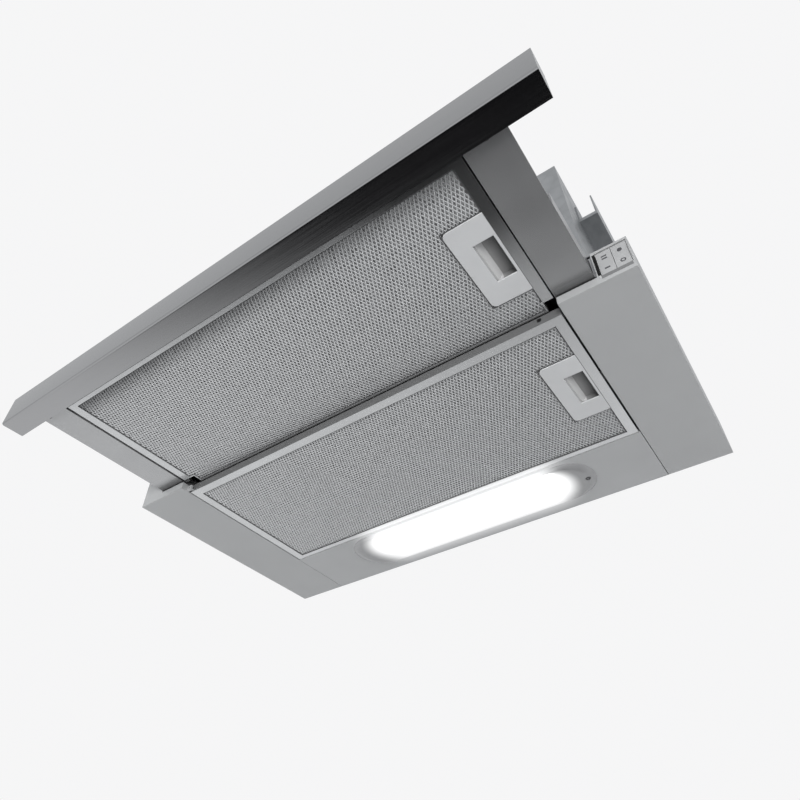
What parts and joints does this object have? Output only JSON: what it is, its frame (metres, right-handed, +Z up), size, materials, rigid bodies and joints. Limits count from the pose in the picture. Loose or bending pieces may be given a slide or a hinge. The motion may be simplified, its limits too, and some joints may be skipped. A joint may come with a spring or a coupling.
{
  "type": "pull out range hood",
  "caption": "Slim cooker hood for a wall cabinet: low housing with a pull-out front tray, two drop-down grease filters, oval lamp, centrifugal fan and a stepped duct collar.",
  "frame": {"origin": "middle of the back edge of the housing's underside, in the plane of the wall", "axes": "+X right as seen from the front, +Y back to the wall, +Z up; the hood hangs from its cabinet, and the tray is drawn pulled out"},
  "size_m": [0.598, 0.4667, 0.2654],
  "materials": {
    "cover_steel": "silver-grey enamel, satin",
    "galvanised": "plain zinc-coated sheet",
    "panel_steel": "brushed along its length",
    "frame_aluminium": "satin anodised",
    "mesh_aluminium": "expanded sheet",
    "handle_grey": "fine matt",
    "latch_grey": "fine matt",
    "spring_steel": "plain wire",
    "rail_steel": "rolled, zinc coated",
    "screw_steel": "plain",
    "fan_black": "moulded",
    "wheel_grey": "moulded",
    "motor_steel": "laminated stack in a plain case",
    "collar_black": "moulded",
    "flap_grey": "moulded",
    "lamp_white": "satin",
    "bezel_chrome": "satin plated rim",
    "lens": "frosted",
    "reflector": "bright",
    "holder_white": "heat resisting",
    "bulb_glass": "frosted",
    "switch_black": "matt",
    "key_grey": "fine matt",
    "contact_brass": "plain",
    "box_grey": "moulded",
    "capacitor_white": "gloss",
    "cap_grey": "moulded",
    "rubber_black": "soft"
  },
  "bodies": {
    "housing": {"lower_housing": "galvanised", "left_cover": "cover_steel", "right_cover": "cover_steel", "casing_shell": "galvanised", "casing_top": "galvanised", "fixing_bracket_left": "galvanised", "fixing_bracket_right": "galvanised", "casing_screws": "screw_steel", "fan_housing_left": "fan_black", "fan_housing_right": "fan_black", "motor": "motor_steel", "motor_bracket": "galvanised", "outlet_collar": "collar_black", "flap_pin": "screw_steel", "lamp_panel": "lamp_white", "lamp_bezel": "bezel_chrome", "lamp_lens": "lens", "lamp_reflector": "reflector", "lamp_holders": "holder_white", "lamp_bulbs": "bulb_glass", "lamp_screw": "screw_steel", "switch_block": "switch_black", "rocker_pin": "screw_steel", "switch_contacts": "contact_brass", "control_box": "box_grey", "control_box_lid": "box_grey", "capacitor": "capacitor_white", "cable_gland": "switch_black", "left_rail_outer": "rail_steel", "right_rail_outer": "rail_steel"},
    "tray": {"tray_frame": "cover_steel", "tray_cover": "galvanised", "front_panel": "panel_steel", "panel_end_caps": "cap_grey", "panel_screws": "screw_steel", "panel_bumpers": "rubber_black", "left_rail_inner": "rail_steel", "right_rail_inner": "rail_steel"},
    "left_runner": {"left_rail_middle": "rail_steel"},
    "right_runner": {"right_rail_middle": "rail_steel"},
    "front_filter": {"front_filter_frame": "frame_aluminium", "front_filter_mesh": "mesh_aluminium", "front_filter_core": "mesh_aluminium", "front_handle": "handle_grey", "front_latch_spring": "spring_steel"},
    "rear_filter": {"rear_filter_frame": "frame_aluminium", "rear_filter_mesh": "mesh_aluminium", "rear_filter_core": "mesh_aluminium", "rear_handle": "handle_grey", "rear_latch_spring": "spring_steel"},
    "front_slider": {"front_latch": "latch_grey"},
    "rear_slider": {"rear_latch": "latch_grey"},
    "fan_key": {"fan_rocker": "key_grey"},
    "light_key": {"light_rocker": "key_grey"},
    "fan_wheel": {"impeller": "wheel_grey", "motor_shaft": "screw_steel"},
    "front_flap": {"flap_front": "flap_grey"},
    "rear_flap": {"flap_rear": "flap_grey"}
  },
  "joints": [
    {"name": "tray_pull", "type": "slide", "parent": "housing", "child": "tray", "axis": [0, -1, 0], "range_m": [-0.153, 0]},
    {"name": "left_runner_slide", "type": "slide", "parent": "housing", "child": "left_runner", "axis": [0, -1, 0], "range_m": [-0.0765, 0]},
    {"name": "right_runner_slide", "type": "slide", "parent": "housing", "child": "right_runner", "axis": [0, -1, 0], "range_m": [-0.0765, 0]},
    {"name": "front_filter_drop", "type": "hinge", "parent": "tray", "child": "front_filter", "pos_m": [-0.2261, -0.365, 0.0126], "axis": [0, 1, 0], "range_deg": [0, 75]},
    {"name": "rear_filter_drop", "type": "hinge", "parent": "housing", "child": "rear_filter", "pos_m": [-0.2261, -0.185, 0.0028], "axis": [0, 1, 0], "range_deg": [0, 75]},
    {"name": "front_latch_slide", "type": "slide", "parent": "front_filter", "child": "front_slider", "axis": [-1, 0, 0], "range_m": [0, 0.006], "stiffness_N_per_m": 400, "springref_m": -0.004, "deforming": ["front_latch_spring"]},
    {"name": "rear_latch_slide", "type": "slide", "parent": "rear_filter", "child": "rear_slider", "axis": [-1, 0, 0], "range_m": [0, 0.006], "stiffness_N_per_m": 400, "springref_m": -0.004, "deforming": ["rear_latch_spring"]},
    {"name": "fan_key_rock", "type": "hinge", "parent": "housing", "child": "fan_key", "pos_m": [0.27715, -0.281, 0.02305], "axis": [1, 0, 0], "range_deg": [-6, 6], "stiffness_Nm_per_rad": 0.3},
    {"name": "light_key_rock", "type": "hinge", "parent": "housing", "child": "light_key", "pos_m": [0.29045, -0.281, 0.02305], "axis": [1, 0, 0], "range_deg": [-6, 6], "stiffness_Nm_per_rad": 0.3},
    {"name": "fan_spin", "type": "hinge", "parent": "housing", "child": "fan_wheel", "pos_m": [0, -0.15, 0.128], "axis": [1, 0, 0], "continuous": true},
    {"name": "front_flap_lift", "type": "hinge", "parent": "housing", "child": "front_flap", "pos_m": [0, -0.1731, 0.241], "axis": [-1, 0, 0], "range_deg": [0, 75]},
    {"name": "rear_flap_lift", "type": "hinge", "parent": "housing", "child": "rear_flap", "pos_m": [0, -0.1731, 0.241], "axis": [1, 0, 0], "range_deg": [0, 75]}
  ],
  "couplings": [
    {"joint": "left_runner_slide", "follows": "tray_pull", "ratio": 0.5},
    {"joint": "right_runner_slide", "follows": "tray_pull", "ratio": 0.5}
  ]
}
